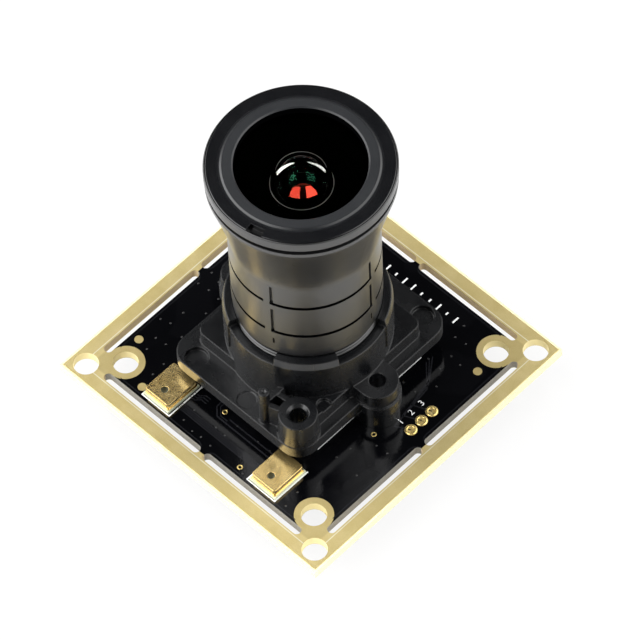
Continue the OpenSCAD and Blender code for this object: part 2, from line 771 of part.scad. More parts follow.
coil_spot = [-11.2, -3.6];
module power_inductor() {
    color("#3b3a3c") under(coil_spot.x, coil_spot.y) difference() {
        linear_extrude(1.5) rounded(3, 3, 0.4);
        translate([0, 0, 0.6]) cylinder(d = 2.3, h = 1);
    }
}
module inductor_core() {
    color("#6e6c6a") under(coil_spot.x, coil_spot.y) translate([0, 0, 0.6]) cylinder(d = 2.2, h = 0.8);
}

// Chip parts: body between two plated ends. Each spot is x, y and turn.
capacitor_spots = concat(
    [for (i = [0 : 4]) [-4.6 + 2.3 * i, 2.6, 90]],
    [for (i = [0 : 3]) [-4.2 + 2.6 * i, -9.3, 90]],
    [[6.2, -3.9, 0], [6.2, -1.9, 0], [-5.8, -5.4, 0], [-5.8, -1.6, 0], [11.6, 6.2, 90], [2.2, 7.4, 90]]);
resistor_spots = concat(
    [for (i = [0 : 3]) [-11.4 + 1.6 * i, 2.9, 90]],
    [for (i = [0 : 4]) [3.4 + 1.7 * i, -12.6, 90]],
    [[6.2, -5.8, 0], [-5.8, -3.5, 0], [-2.2, 6.9, 0], [-2.2, 8.4, 0]]);

module chip_body(l, w, h, cap) { block(l - 2 * cap, w - 0.04, h - 0.03); }
module chip_caps(l, w, h, cap) {
    for (s = [-1, 1]) translate([s * (l - cap) / 2, 0, 0]) block(cap, w, h);
}

module capacitors() { color("#b08d62") for (s = capacitor_spots) under(s.x, s.y, s[2]) chip_body(1.6, 0.8, 0.8, 0.35); }
module capacitor_caps() { color("#d0d2d3") for (s = capacitor_spots) under(s.x, s.y, s[2]) chip_caps(1.6, 0.8, 0.8, 0.35); }
module resistors() { color("#1a1a1c") for (s = resistor_spots) under(s.x, s.y, s[2]) chip_body(1, 0.5, 0.35, 0.2); }
module resistor_caps() { color("#d0d2d3") for (s = resistor_spots) under(s.x, s.y, s[2]) chip_caps(1, 0.5, 0.35, 0.2); }

// Cable connector: a low housing that opens towards +Y, its pins and its two solder anchors
plug_w = (plug_pins - 1) * plug_pitch + 3;
plug_l = 4.2;
plug_wall = 0.5;
plug_back = 1;                                  // solid back wall that holds the pins
plug_spot = [0, inner_half - 3.5];

module plug_housing() {
    color("#ded8c6") under(plug_spot.x, plug_spot.y) difference() {
        block(plug_w, plug_l, plug_h);
        translate([-plug_w / 2 + plug_wall, -plug_l / 2 + plug_back, plug_wall])
            cube([plug_w - 2 * plug_wall, plug_l, plug_h - 2 * plug_wall]);
        for (s = [-1, 1]) translate([s * plug_w / 4, plug_l / 2, plug_h - plug_wall - eps]) block(1, 2, 1);
        plug_rods(0.05);
    }
}

// The pins run from a foot behind the housing, up and through its back wall
module plug_rods(gap) {
    for (i = [0 : plug_pins - 1]) translate([(i - (plug_pins - 1) / 2) * plug_pitch, 0, 0]) {
        translate([-0.2 - gap, -plug_l / 2 - 0.6, plug_h / 2 - 0.2 - gap])
            cube([0.4 + 2 * gap, plug_l - 0.1, 0.4 + 2 * gap]);
        translate([-0.2 - gap, -plug_l / 2 - 1, 0]) cube([0.4 + 2 * gap, 0.4, plug_h / 2 + 0.2]);
        translate([-0.2 - gap, -plug_l / 2 - 1.5, 0]) cube([0.4 + 2 * gap, 0.9, 0.15]);
    }
}

module plug_pins_row() { color("#c9ccce") under(plug_spot.x, plug_spot.y) plug_rods(0); }

module plug_anchors() {
    color("#c9ccce") under(plug_spot.x, plug_spot.y)
        for (s = [-1, 1]) translate([s * (plug_w / 2 + 0.3), 0.6, 0]) {
            translate([-0.3, -0.9, 0]) cube([0.6, 1.8, 0.15]);
            translate([s > 0 ? -0.3 : 0.15, -0.9, 0]) cube([0.15, 1.8, 1.6]);
        }
}

circuit_board();
front_copper();
back_copper();
lens_holder();
holder_screws();
lens_barrel();
front_ring();
front_element();
front_spacer();
second_element();
middle_spacer();
third_element();
aperture_stop();
fourth_element();
rear_spacer();
fifth_element();
rear_retainer();
infrared_filter();
sensor_package();
sensor_die();
sensor_glass();
microphone_bases();
microphone_lids();
processor();
memory_chip();
memory_leads();
clock_crystal();
crystal_base();
regulators();
regulator_leads();
power_inductor();
inductor_core();
capacitors();
capacitor_caps();
resistors();
resistor_caps();
plug_housing();
plug_pins_row();
plug_anchors();
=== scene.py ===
"""Looks of the board camera: materials, fine parts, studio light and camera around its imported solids."""
import math

import bpy
import numpy as np
from mathutils import Matrix, Vector


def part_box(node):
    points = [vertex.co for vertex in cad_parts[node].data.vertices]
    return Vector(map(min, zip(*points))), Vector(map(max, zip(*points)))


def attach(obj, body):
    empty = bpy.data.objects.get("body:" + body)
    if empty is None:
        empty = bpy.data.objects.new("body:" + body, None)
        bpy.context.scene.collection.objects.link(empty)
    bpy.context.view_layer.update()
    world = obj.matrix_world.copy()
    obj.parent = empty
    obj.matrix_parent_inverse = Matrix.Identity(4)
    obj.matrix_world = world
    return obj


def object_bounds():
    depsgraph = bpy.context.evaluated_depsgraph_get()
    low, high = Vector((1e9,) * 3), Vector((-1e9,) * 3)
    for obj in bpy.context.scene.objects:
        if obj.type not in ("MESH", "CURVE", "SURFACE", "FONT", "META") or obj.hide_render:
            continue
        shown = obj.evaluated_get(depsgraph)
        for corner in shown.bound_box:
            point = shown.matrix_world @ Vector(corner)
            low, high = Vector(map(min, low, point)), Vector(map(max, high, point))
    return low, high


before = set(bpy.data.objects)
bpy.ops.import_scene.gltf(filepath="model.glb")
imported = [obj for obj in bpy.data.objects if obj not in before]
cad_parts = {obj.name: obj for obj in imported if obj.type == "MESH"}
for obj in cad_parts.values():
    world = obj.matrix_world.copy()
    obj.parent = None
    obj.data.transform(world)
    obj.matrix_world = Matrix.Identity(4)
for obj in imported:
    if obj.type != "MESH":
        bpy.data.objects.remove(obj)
cad_lo, cad_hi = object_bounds()

MM = 0.001
ROOT = "root"


def span_mm(node):
    """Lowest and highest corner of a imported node, in millimetres."""
    lo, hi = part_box(node)
    return np.array(lo) / MM, np.array(hi) / MM


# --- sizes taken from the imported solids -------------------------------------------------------
board_lo, board_hi = span_mm("circuit_board")
BOARD_TOP = board_hi[2]
mic_lo, mic_hi = span_mm("microphone_bases")
FLOOR_Z = cad_lo[2] / MM

INNER_HALF = 16.1      # half side of the board inside the slots
SLOT_MID = 16.6        # centre line of the slots
INNER_HOLE = 14.0      # mounting holes of the inner board
OUTER_HOLE = 17.0      # mounting holes of the frame
HOLE_R = 1.4
LUG_X = 10.0           # screw lugs of the lens holder
PAD_X, PAD_Y, PAD_STEP = 14.2, 2.2, 1.6      # row of three wire pads
VIAS = ((11.7, -2.5), (-1.8, -11.25), (4.2, -15.1))
TOWER_TOP = BOARD_TOP + 11.0
THREAD_TOP = BOARD_TOP + 12.2
RING_LIP = 8.1         # outer radius of the front ring's lip, whose paler tone is painted light
THREAD_CORE, THREAD_CREST = 7.5, 7.86        # radii of the exposed lens thread
PRINT_SINK, TRACE_SINK, VIA_SINK, RIM_SINK = 0.004, 0.006, 0.01, 0.005     # depth of each in the board
CORNER = 46.3          # direction of the board's front corner round the lens axis, in degrees


# --- shader building ---------------------------------------------------------------------------
class Shader:
    """A material, or a node group, with short calls for the nodes that it is built from."""

    def __init__(self, tree):
        self.tree = tree

    def node(self, kind, values=None, **settings):
        n = self.tree.nodes.new(kind)
        for key, value in settings.items():
            setattr(n, key, value)
        for key, value in (values or {}).items():
            self.put(n.inputs[key], value)
        return n

    def put(self, socket, value):
        if isinstance(value, bpy.types.NodeSocket):
            self.tree.links.new(value, socket)
        elif value is not None:
            socket.default_value = value

    def math(self, operation, a, b=None, c=None, clamp=False):
        n = self.node("ShaderNodeMath", operation=operation, use_clamp=clamp)
        for i, value in enumerate((a, b, c)):
            self.put(n.inputs[i], value)
        return n.outputs[0]

    def ramp_to(self, value, lo, hi, out_lo=0.0, out_hi=1.0):
        """Linear step: value between lo and hi becomes out_lo to out_hi, held outside."""
        n = self.node("ShaderNodeMapRange", {0: value, 1: lo, 2: hi, 3: out_lo, 4: out_hi}, clamp=True)
        return n.outputs[0]

    def mix(self, factor, a, b, blend="MIX"):
        n = self.node("ShaderNodeMix", data_type="RGBA", blend_type=blend)
        for key, value in ((0, factor), (6, a), (7, b)):
            self.put(n.inputs[key], value)
        return n.outputs[2]

    def noise(self, vector, scale, detail=2.0, rough=0.5):
        n = self.node("ShaderNodeTexNoise",
                      {"Vector": vector, "Scale": scale, "Detail": detail, "Roughness": rough})
        return n.outputs["Fac"]

    def split(self, vector):
        n = self.node("ShaderNodeSeparateXYZ", {0: vector})
        return n.outputs[0], n.outputs[1], n.outputs[2]

    def stretch(self, vector, scale):
        return self.node("ShaderNodeMapping", {"Vector": vector, "Scale": scale}).outputs[0]

    def vector(self, operation, values):
        return self.node("ShaderNodeVectorMath", values, operation=operation).outputs

    def length(self, x, y):
        return self.math("SQRT", self.math("ADD", self.math("MULTIPLY", x, x), self.math("MULTIPLY", y, y)))

    def group(self, tree, values):
        n = self.node("ShaderNodeGroup", node_tree=tree)
        for key, value in values.items():
            self.put(n.inputs[key], value)
        return n.outputs


def rgb(r, g, b):
    """Display colour to the linear RGBA that shaders take."""
    lin = [c / 12.92 if c <= 0.04045 else ((c + 0.055) / 1.055) ** 2.4 for c in (r, g, b)]
    return (*lin, 1.0)


def make_group(name, inputs, outputs):
    """Empty shader group with named sockets: gives its builder, its input sockets and its output node."""
    tree = bpy.data.node_groups.new(name, "ShaderNodeTree")
    for key, kind, default in inputs:
        socket = tree.interface.new_socket(name=key, in_out="INPUT", socket_type=kind)
        if default is not None:
            socket.default_value = default
    for key, kind in outputs:
        tree.interface.new_socket(name=key, in_out="OUTPUT", socket_type=kind)
    s = Shader(tree)
    return s, s.node("NodeGroupInput").outputs, s.node("NodeGroupOutput")


def grain_group():
    """Fine moulded grain: two sizes of noise give a height, and the coarse one a slow change of tone."""
    s, given, result = make_group(
        "surface_grain",
        [("Vector", "NodeSocketVector", None), ("Size", "NodeSocketFloat", 8.0),
         ("Cloud Size", "NodeSocketFloat", 0.5)],
        [("Height", "NodeSocketFloat"), ("Tone", "NodeSocketFloat")])
    fine = s.noise(given["Vector"], given["Size"], 3.0, 0.6)
    cloud = s.noise(given["Vector"], given["Cloud Size"], 3.0, 0.55)
    s.put(result.inputs["Height"], s.math("ADD", fine, s.math("MULTIPLY", cloud, 0.35)))
    s.put(result.inputs["Tone"], cloud)
    return s.tree


def dust_group():
    """Sparse specks: cells of a Voronoi pattern whose distance is small and whose random value is high."""
    s, given, result = make_group(
        "fine_dust",
        [("Vector", "NodeSocketVector", None), ("Density", "NodeSocketFloat", 1.2),
         ("Amount", "NodeSocketFloat", 0.3)],
        [("Mask", "NodeSocketFloat")])
    cells = s.node("ShaderNodeTexVoronoi", {"Vector": given["Vector"], "Scale": given["Density"]})
    near = s.ramp_to(cells.outputs["Distance"], 0.02, 0.06, 1.0, 0.0)
    pick = s.node("ShaderNodeSeparateColor", {0: cells.outputs["Color"]}).outputs[0]
    some = s.ramp_to(pick, s.math("SUBTRACT", 1.0, given["Amount"]), 1.0)
    s.put(result.inputs["Mask"], s.math("MULTIPLY", near, some))
    return s.tree


GRAIN = grain_group()
DUST = dust_group()


class Finish(Shader):
    """A material on a Principled surface; its patterns read Object coordinates in millimetres."""

    def __init__(self, name, **plain):
        self.material = bpy.data.materials.new(name)
        self.material.use_nodes = True
        super().__init__(self.material.node_tree)
        self.tree.nodes.clear()
        self.out = self.node("ShaderNodeOutputMaterial")
        self.body = self.node("ShaderNodeBsdfPrincipled")
        self.tree.links.new(self.body.outputs[0], self.out.inputs[0])
        for key, value in plain.items():
            self.body.inputs[key.replace("_", " ")].default_value = value
        place = self.node("ShaderNodeTexCoord").outputs["Object"]
        self.mm = self.stretch(place, (1 / MM,) * 3)

    def set(self, key, value):
        self.put(self.body.inputs[key], value)

    def bump(self, height, depth_mm, strength=1.0, normal=None):
        n = self.node("ShaderNodeBump", {"Strength": strength, "Distance": depth_mm * MM,
                                         "Height": height, "Normal": normal})
        self.set("Normal", n.outputs[0])

    def rounded(self, radius_mm):
        """Normal that softens the sharp edges of a solid over the given radius."""
        return self.node("ShaderNodeBevel", {"Radius": radius_mm * MM}, samples=4).outputs[0]


def black_plastic(name, shade, rough, grain_mm=0.004, edge_mm=0.12, level=0.5, dust=0.35):
    """Moulded black plastic: fine grain, slow clouds in gloss, a little pale dust and softened edges."""
    f = Finish(name, Metallic=0.0, IOR=1.5, Specular_IOR_Level=level)
    grain = f.group(GRAIN, {"Vector": f.mm, "Size": 9.0, "Cloud Size": 0.35})
    specks = f.group(DUST, {"Vector": f.mm, "Density": 1.4, "Amount": 0.25})["Mask"]
    base = f.mix(grain["Tone"], rgb(shade * 0.75, shade * 0.8, shade * 0.95),
                 rgb(shade * 1.2, shade * 1.3, shade * 1.5))
    f.set("Base Color", f.mix(f.math("MULTIPLY", specks, dust), base, rgb(0.42, 0.42, 0.42)))
    f.set("Roughness", f.ramp_to(grain["Tone"], 0.25, 0.75, rough * 0.85, rough * 1.2))
    f.bump(grain["Height"], grain_mm, 1.0, f.rounded(edge_mm) if edge_mm else None)
    return f.material


def barrel_finish(name="barrel_black", painted_groove_shade=1.0):
    """Lens barrel: satin black with fine turning lines, and painted shade in the grooves of the thread."""
    f = Finish(name, Metallic=0.0, IOR=1.65)
    x, y, z = f.split(f.mm)
    radius = f.length(x, y)
    grain = f.group(GRAIN, {"Vector": f.mm, "Size": 9.0, "Cloud Size": 0.3})
    turning = f.noise(f.stretch(f.mm, (0.25, 0.25, 9.0)), 1.5, 3.0, 0.6)
    specks = f.group(DUST, {"Vector": f.mm, "Density": 1.1, "Amount": 0.3})["Mask"]
    skin = f.mix(grain["Tone"], rgb(0.06, 0.06, 0.062), rgb(0.09, 0.09, 0.092))
    skin = f.mix(f.math("MULTIPLY", specks, 0.4), skin, rgb(0.7, 0.7, 0.7))
    # painted shade: the core between the thread's ridges is made nearly black and rough, for the shadow in
    # the grooves
    at_core = f.ramp_to(radius, 7.72, 7.76, 1.0, 0.0)
    in_thread = f.math("MULTIPLY", at_core, f.ramp_to(z, THREAD_TOP + 0.02, THREAD_TOP + 0.06, 1.0, 0.0))
    groove_shade = f.math("MULTIPLY", in_thread, painted_groove_shade)
    f.set("Base Color", f.mix(groove_shade, skin, (0.0015, 0.0015, 0.0018, 1.0)))
    tone = f.math("ADD", f.math("MULTIPLY", grain["Tone"], 0.12), f.math("MULTIPLY", turning, 0.06))
    f.set("Roughness", f.math("ADD", f.ramp_to(groove_shade, 0.0, 1.0, 0.22, 0.8), tone))
    f.bump(f.math("ADD", grain["Height"], f.math("MULTIPLY", turning, 0.5)), 0.003, 1.0, f.rounded(0.08))
    return f.material


def ring_finish():
    """Front ring: smooth black outer face, and a duller lip round the window, painted paler for the light
    that its slope catches.
    """
    f = Finish("ring_black", Metallic=0.0, IOR=1.5)
    x, y, z = f.split(f.mm)
    radius = f.length(x, y)
    lip = f.ramp_to(radius, RING_LIP - 0.2, RING_LIP + 0.5, 1.0, 0.0)
    grain = f.group(GRAIN, {"Vector": f.mm, "Size": 8.0, "Cloud Size": 0.3})
    specks = f.group(DUST, {"Vector": f.mm, "Density": 1.2, "Amount": 0.25})["Mask"]
    face = f.mix(grain["Tone"], rgb(0.01, 0.012, 0.02), rgb(0.02, 0.023, 0.034))
    # painted light: the lip's paler tone stands for the light that its slope catches
    lip_painted_light = f.mix(grain["Tone"], rgb(0.062, 0.07, 0.082), rgb(0.085, 0.093, 0.105))
    base = f.mix(lip, face, lip_painted_light)
    deep = f.ramp_to(z, BOARD_TOP + 35.4, BOARD_TOP + 35.7, 1.0, 0.0)
    base = f.mix(deep, base, rgb(0.02, 0.02, 0.025))
    f.set("Base Color", f.mix(f.math("MULTIPLY", specks, 0.3), base, rgb(0.5, 0.5, 0.5)))
    tone = f.math("MULTIPLY", grain["Tone"], 0.1)
    f.set("Roughness", f.math("ADD", f.ramp_to(lip, 0.0, 1.0, 0.2, 0.34), tone))
    f.bump(grain["Height"], 0.003, 1.0, f.rounded(0.06))
    return f.material


def board_finish():
    """Circuit board: glossy black mask on its faces, glass-fibre laminate on cut edges, plated hole walls,
    with painted shade in the small holes.
    The masked faces stand above the laminate, so height tells them apart, and the distance from the
    centre, the larger of |x| and |y|, tells outer edge, frame side and inner side of the slots."""
    f = Finish("black_board", IOR=1.52)
    x, y, z = f.split(f.mm)
    ax, ay = f.math("ABSOLUTE", x), f.math("ABSOLUTE", y)
    far = f.math("MAXIMUM", ax, ay)
    grain = f.group(GRAIN, {"Vector": f.mm, "Size": 5.0, "Cloud Size": 0.25})
    # copper areas below the mask: large soft-edged patches that are a little lighter and lie higher
    pour = f.ramp_to(f.noise(f.mm, 0.16, 2.0, 0.4), 0.5, 0.53)
    mask = f.mix(grain["Tone"], rgb(0.011, 0.012, 0.018), rgb(0.02, 0.021, 0.028))
    mask = f.mix(f.math("MULTIPLY", pour, 0.5), mask, rgb(0.035, 0.036, 0.045))
    # laminate: thin woven layers seen on the cut edge
    weave = f.math("SINE", f.math("MULTIPLY", z, 42.0))
    fibre = f.noise(f.stretch(f.mm, (2.2, 2.2, 14.0)), 1.6, 4.0, 0.6)
    layered = f.ramp_to(f.math("ADD", f.math("MULTIPLY", weave, 0.2), fibre), 0.2, 0.9)
    edge = f.mix(layered, rgb(0.88, 0.84, 0.66), rgb(0.99, 0.97, 0.84))
    frame_side = f.mix(layered, rgb(0.8, 0.7, 0.52), rgb(0.93, 0.84, 0.68))
    inner_side = f.mix(layered, rgb(0.46, 0.455, 0.43), rgb(0.68, 0.67, 0.64))
    in_slot = f.mix(f.ramp_to(far, SLOT_MID - 0.05, SLOT_MID + 0.05), inner_side, frame_side)
    wall = f.mix(f.ramp_to(far, 18.0, 18.4), in_slot, edge)
    # plated walls of the mounting holes and of the wire pads; the other small holes get dark gold-brown
    # walls, plating with painted shade
    def about(c):
        return f.length(f.math("SUBTRACT", ax, c), f.math("SUBTRACT", ay, c))
    nearest = f.math("MINIMUM", about(INNER_HOLE), about(OUTER_HOLE))
    big = f.ramp_to(nearest, HOLE_R + 0.05, HOLE_R + 0.1, 1.0, 0.0)
    small = f.ramp_to(far, INNER_HALF - 0.25, INNER_HALF - 0.2, 1.0, 0.0)
    from_pads = f.math("ABSOLUTE", f.math("SUBTRACT", x, PAD_X))
    wired = f.math("MULTIPLY", small, f.ramp_to(from_pads, 0.6, 0.65, 1.0, 0.0))
    plated = f.math("MAXIMUM", big, wired)
    # painted shade: walls of the small holes darkened to a gold-brown, for the shade inside a narrow hole
    wall = f.mix(small, wall, rgb(0.12, 0.1, 0.07))
    wall = f.mix(plated, wall, rgb(0.97, 0.92, 0.72))
    middle = (board_lo[2] + BOARD_TOP) / 2
    off_middle = f.math("ABSOLUTE", f.math("SUBTRACT", z, middle))
    on_mask = f.ramp_to(off_middle, BOARD_TOP / 2 - 0.045, BOARD_TOP / 2 - 0.02)
    up = f.math("ABSOLUTE", f.split(f.node("ShaderNodeNewGeometry").outputs["True Normal"])[2])
    on_mask = f.math("MULTIPLY", on_mask, f.ramp_to(up, 0.4, 0.6))
    f.set("Base Color", f.mix(on_mask, wall, mask))
    tone = f.math("MULTIPLY", grain["Tone"], 0.06)
    f.set("Roughness", f.math("ADD", f.ramp_to(on_mask, 0.0, 1.0, 0.5, 0.05), tone))
    f.set("Metallic", f.math("MULTIPLY", f.math("MULTIPLY", plated, 0.6), f.math("SUBTRACT", 1.0, on_mask)))
    rise = f.math("MULTIPLY", grain["Height"], f.ramp_to(on_mask, 0.0, 1.0, 0.2, 0.5))
    relief = f.math("ADD", rise, f.math("MULTIPLY", layered, 0.4))
    f.bump(f.math("ADD", relief, f.math("MULTIPLY", f.math("MULTIPLY", pour, on_mask), 1.2)), 0.006)
    return f.material


def gold_finish(name, light, dark, rough=0.42, metal=0.5, mottle=9.0, slot_highlight=False, edge_mm=0.0,
                grain_mm=0.003):
    """Gold-plated copper: a fine mottle of tone and roughness, and a painted highlight along the slots."""
    f = Finish(name, Metallic=metal)
    fine = f.noise(f.mm, mottle, 3.0, 0.6)
    cloud = f.noise(f.mm, 0.5, 3.0, 0.5)
    both = f.math("ADD", f.math("MULTIPLY", fine, 0.45), f.math("MULTIPLY", cloud, 0.55))
    tone = f.ramp_to(both, 0.3, 0.7)
    base = f.mix(tone, dark, light)
    if slot_highlight:
        x, y, z = f.split(f.mm)
        far = f.math("MAXIMUM", f.math("ABSOLUTE", x), f.math("ABSOLUTE", y))
        # painted highlight: a near-white line just outside the slots, where the plating's rounded edge
        # catches the light
        gap = f.math("ABSOLUTE", f.math("SUBTRACT", far, SLOT_MID + 0.7))
        base = f.mix(f.ramp_to(gap, 0.03, 0.07, 0.85, 0.0), base, rgb(0.98, 0.96, 0.86))
        inner = f.ramp_to(far, SLOT_MID - 0.1, SLOT_MID + 0.1, 0.3, 0.0)
        base = f.mix(inner, base, rgb(0.62, 0.54, 0.34))
    f.set("Base Color", base)
    f.set("Roughness", f.ramp_to(fine, 0.3, 0.7, rough * 0.9, rough * 1.15))
    grain = f.math("ADD", fine, f.noise(f.mm, 26.0, 2.0))
    f.bump(grain, grain_mm, 1.0, f.rounded(edge_mm) if edge_mm else None)
    return f.material


def plain_finish(name, colour, rough, metal=0.0, grain_mm=0.003, spread=0.12, size=7.0, edge_mm=0.04,
                 **more):
    """General small-part finish: grain, a tone spread around one colour, softened edges."""
    f = Finish(name, Metallic=metal, **more)
    grain = f.group(GRAIN, {"Vector": f.mm, "Size": size, "Cloud Size": 0.8})
    lo = tuple(c * (1 - spread) for c in colour)
    hi = tuple(min(1.0, c * (1 + spread)) for c in colour)
    f.set("Base Color", f.mix(grain["Tone"], rgb(*lo), rgb(*hi)))
    f.set("Roughness", f.ramp_to(grain["Tone"], 0.25, 0.75, rough * 0.85, min(1.0, rough * 1.2)))
    f.bump(grain["Height"], grain_mm, 1.0, f.rounded(edge_mm) if edge_mm else None)
    return f.material


def coated_glass(name, tint, ior=1.5, body=(0.97, 0.985, 0.975, 1.0), bend=None):
    """Optical glass with a coating that keeps only a faint coloured reflection. Where bend gives a centre,
    the surface shades as a sphere round that centre, on the side that its own normal lies."""
    f = Finish(name, Metallic=0.0, IOR=ior, Transmission_Weight=1.0, Specular_Tint=tint)
    haze = f.noise(f.mm, 3.0, 2.0)
    f.set("Base Color", f.mix(haze, body, tuple(min(1.0, c * 1.02) for c in body)))
    f.set("Roughness", f.ramp_to(haze, 0.3, 0.7, 0.0, 0.004))
    if bend:
        own = f.node("ShaderNodeNewGeometry").outputs["True Normal"]
        away = f.vector("SUBTRACT", {0: f.mm, 1: bend})[0]
        same = f.math("SIGN", f.vector("DOT_PRODUCT", {0: away, 1: own})["Value"])
        f.set("Normal", f.vector("NORMALIZE", {0: f.vector("SCALE", {0: away, 3: same})[0]})[0])
    return f.material


# --- carried-over nodes -----------------------------------------------------------------------
def dress(material, *names):
    for name in names:
        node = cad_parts[name]
        node.data.materials.clear()
        node.data.materials.append(material)
        for p in node.data.polygons:
            p.material_index = 0


def coat_faces(name, material, wanted):
    """Further material on the faces of a node that are wanted, judged by the radius and height of their
    centres in millimetres and by the outward and upward parts of their normals."""
    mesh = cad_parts[name].data
    mesh.materials.append(material)
    centres, normals = np.empty((2, len(mesh.polygons) * 3))
    mesh.polygons.foreach_get("center", centres)
    mesh.polygons.foreach_get("normal", normals)
    x, y, z = centres.reshape(-1, 3).T / MM
    nx, ny, nz = normals.reshape(-1, 3).T
    slots = np.empty(len(mesh.polygons), np.int32)
    mesh.polygons.foreach_get("material_index", slots)
    radius = np.hypot(x, y)
    slots[wanted(radius, z, (nx * x + ny * y) / radius, nz)] = len(mesh.materials) - 1
    mesh.polygons.foreach_set("material_index", slots)
    mesh.update()


def bowl_sizes():
    """Radius of the round hollow in the front glass and height of its centre, read from its vertices."""
    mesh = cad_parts["front_element"].data
    spots = np.empty(len(mesh.vertices) * 3)
    mesh.vertices.foreach_get("co", spots)
    x, y, z = spots.reshape(-1, 3).T / MM
    radius = np.hypot(x, y)
    mouth = radius[z < z.min() + 0.01].min()
    return mouth, z[np.abs(radius - mouth) < 0.01].max()


BOWL_R, BOWL_Z = bowl_sizes()
DOME_Z = span_mm("front_element")[1][2]


BARREL = barrel_finish()
BOARD = board_finish()
GOLD = gold_finish("plated_gold", rgb(0.9, 0.83, 0.6), rgb(0.83, 0.75, 0.5), 0.34, 0.8, slot_highlight=True)


def dress_all():
    lid = gold_finish("lid_gold", rgb(0.97, 0.86, 0.6), rgb(0.92, 0.79, 0.5), 0.24, 0.95, 2.0,
                      edge_mm=0.12, grain_mm=0.0006)
    chip = plain_finish("chip_black", (0.11, 0.11, 0.115), 0.5)
    tin = plain_finish("tinned", (0.8, 0.81, 0.82), 0.28, 1.0)
    inner = black_plastic("inner_black", 0.012, 0.8, 0.004, None, level=0.0, dust=0.0)
    dress(BOARD, "circuit_board")
    dress(GOLD, "front_copper", "back_copper")
    dress(black_plastic("holder_black", 0.042, 0.26, 0.005, 0.2), "lens_holder")
    dress(BARREL, "lens_barrel")
    dress(ring_finish(), "front_ring")
    dress(inner, "front_spacer", "middle_spacer", "aperture_stop", "rear_spacer", "rear_retainer")
    hidden_black = (0.01, 0.02, 0.015, 1.0)
    dress(coated_glass("front_glass", hidden_black), "front_element")
    dress(coated_glass("clear_glass", (0.03, 0.05, 0.04, 1.0)),
          "second_element", "third_element", "fourth_element", "fifth_element")
    dress(coated_glass("filter_cyan", (0.2, 0.4, 0.36, 1.0)), "infrared_filter", "sensor_glass")
    # the hollow shows green, and the dome shades almost flat, so that the lamps don't lie on it
    coat_faces("front_element",
               coated_glass("bowl_coating", (0.16, 0.4, 0.25, 1.0), bend=(-1.03, 0.98, BOWL_Z - 2.95)),
               lambda radius, z, out, up: (radius < BOWL_R + 0.01) & (z < DOME_Z - 0.8))
    coat_faces("front_element",
               coated_glass("dome_coating", hidden_black, bend=(0.0, 0.0, DOME_Z - 300.0)),
               lambda radius, z, out, up: up > 0.3)
    # dead black inside the head and the bore
    coat_faces("lens_barrel", inner, lambda radius, z, out, up:
               (out < -0.2) | (radius < 8.8) & (np.abs(up) > 0.5) & (z > TOWER_TOP))
    coat_faces("front_ring", inner, lambda radius, z, out, up: out < -0.9)
    dress(plain_finish("zinc", (0.72, 0.73, 0.75), 0.3, 1.0), "holder_screws")
    dress(lid, "microphone_lids")
    dress(plain_finish("mic_laminate", (0.8, 0.82, 0.72), 0.5), "microphone_bases")
    dress(chip, "processor", "memory_chip", "regulators")
    dress(tin, "memory_leads", "regulator_leads", "capacitor_caps", "resistor_caps", "plug_pins_row",
          "plug_anchors")
    dress(plain_finish("nickel_lid", (0.76, 0.74, 0.68), 0.3, 1.0), "clock_crystal")
    dress(plain_finish("brown_ceramic", (0.35, 0.31, 0.27), 0.55), "crystal_base")
    dress(plain_finish("ferrite", (0.25, 0.25, 0.26), 0.6), "power_inductor", "inductor_core")
    dress(plain_finish("tan_ceramic", (0.68, 0.55, 0.4), 0.5), "capacitors")
    dress(plain_finish("black_coating", (0.09, 0.09, 0.1), 0.35), "resistors")
    dress(plain_finish("nylon", (0.9, 0.87, 0.79), 0.45, 0.0, 0.005), "plug_housing")
    dress(plain_finish("dark_ceramic", (0.2, 0.2, 0.21), 0.5), "sensor_package")
    dress(plain_finish("silicon", (0.4, 0.36, 0.5), 0.12, 1.0, 0.0005), "sensor_die")


dress_all()


# --- fine parts ----------------------------------------------------------------------------------
def add_piece(name, points, faces, material, smooth=True):
    """Closed mesh from millimetre points and faces, riding on the part's only body."""
    mesh = bpy.data.meshes.new(name)
    mesh.from_pydata((np.asarray(points) * MM).tolist(), [], [tuple(int(i) for i in f) for f in faces])
    mesh.update()
    mesh.polygons.foreach_set("use_smooth", np.full(len(mesh.polygons), smooth))
    mesh.materials.append(material)
    piece = bpy.data.objects.new(name, mesh)
    bpy.context.collection.objects.link(piece)
    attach(piece, ROOT)
    return piece


def grid_faces(rows, columns, wrap_rows=False, wrap_columns=False):
    """Quads of a grid of points, row by row; a wrapped direction joins its last line to its first."""
    r = np.arange(rows if wrap_rows else rows - 1)
    c = np.arange(columns if wrap_columns else columns - 1)
    r, c = (a.ravel() for a in np.meshgrid(r, c, indexing="ij"))
    r2, c2 = (r + 1) % rows, (c + 1) % columns
    return np.stack([r * columns + c, r2 * columns + c, r2 * columns + c2, r * columns + c2], axis=1)


def joined(parts):
    """Several (points, faces) into one."""
    points, faces, count = [], [], 0
    for p, f in parts:
        points.append(p)
        faces += [tuple(int(i) + count for i in face) for face in f]
        count += len(p)
    return np.concatenate(points), faces


def turned(profile, x, y, steps=32):
    """Closed ring: a loop of (radius, height) points turned about a vertical line through x, y.
    The profile runs anticlockwise, seen with the radius to the right and the height up."""
    r, z = np.array(profile, float).T
    a = np.linspace(0, 2 * np.pi, steps, endpoint=False)
    heights = np.broadcast_to(z, (steps, len(z)))
    grid = np.stack([x + np.outer(np.cos(a), r), y + np.outer(np.sin(a), r), heights], axis=-1)
    return grid.reshape(-1, 3), grid_faces(steps, len(r), True, True).tolist()


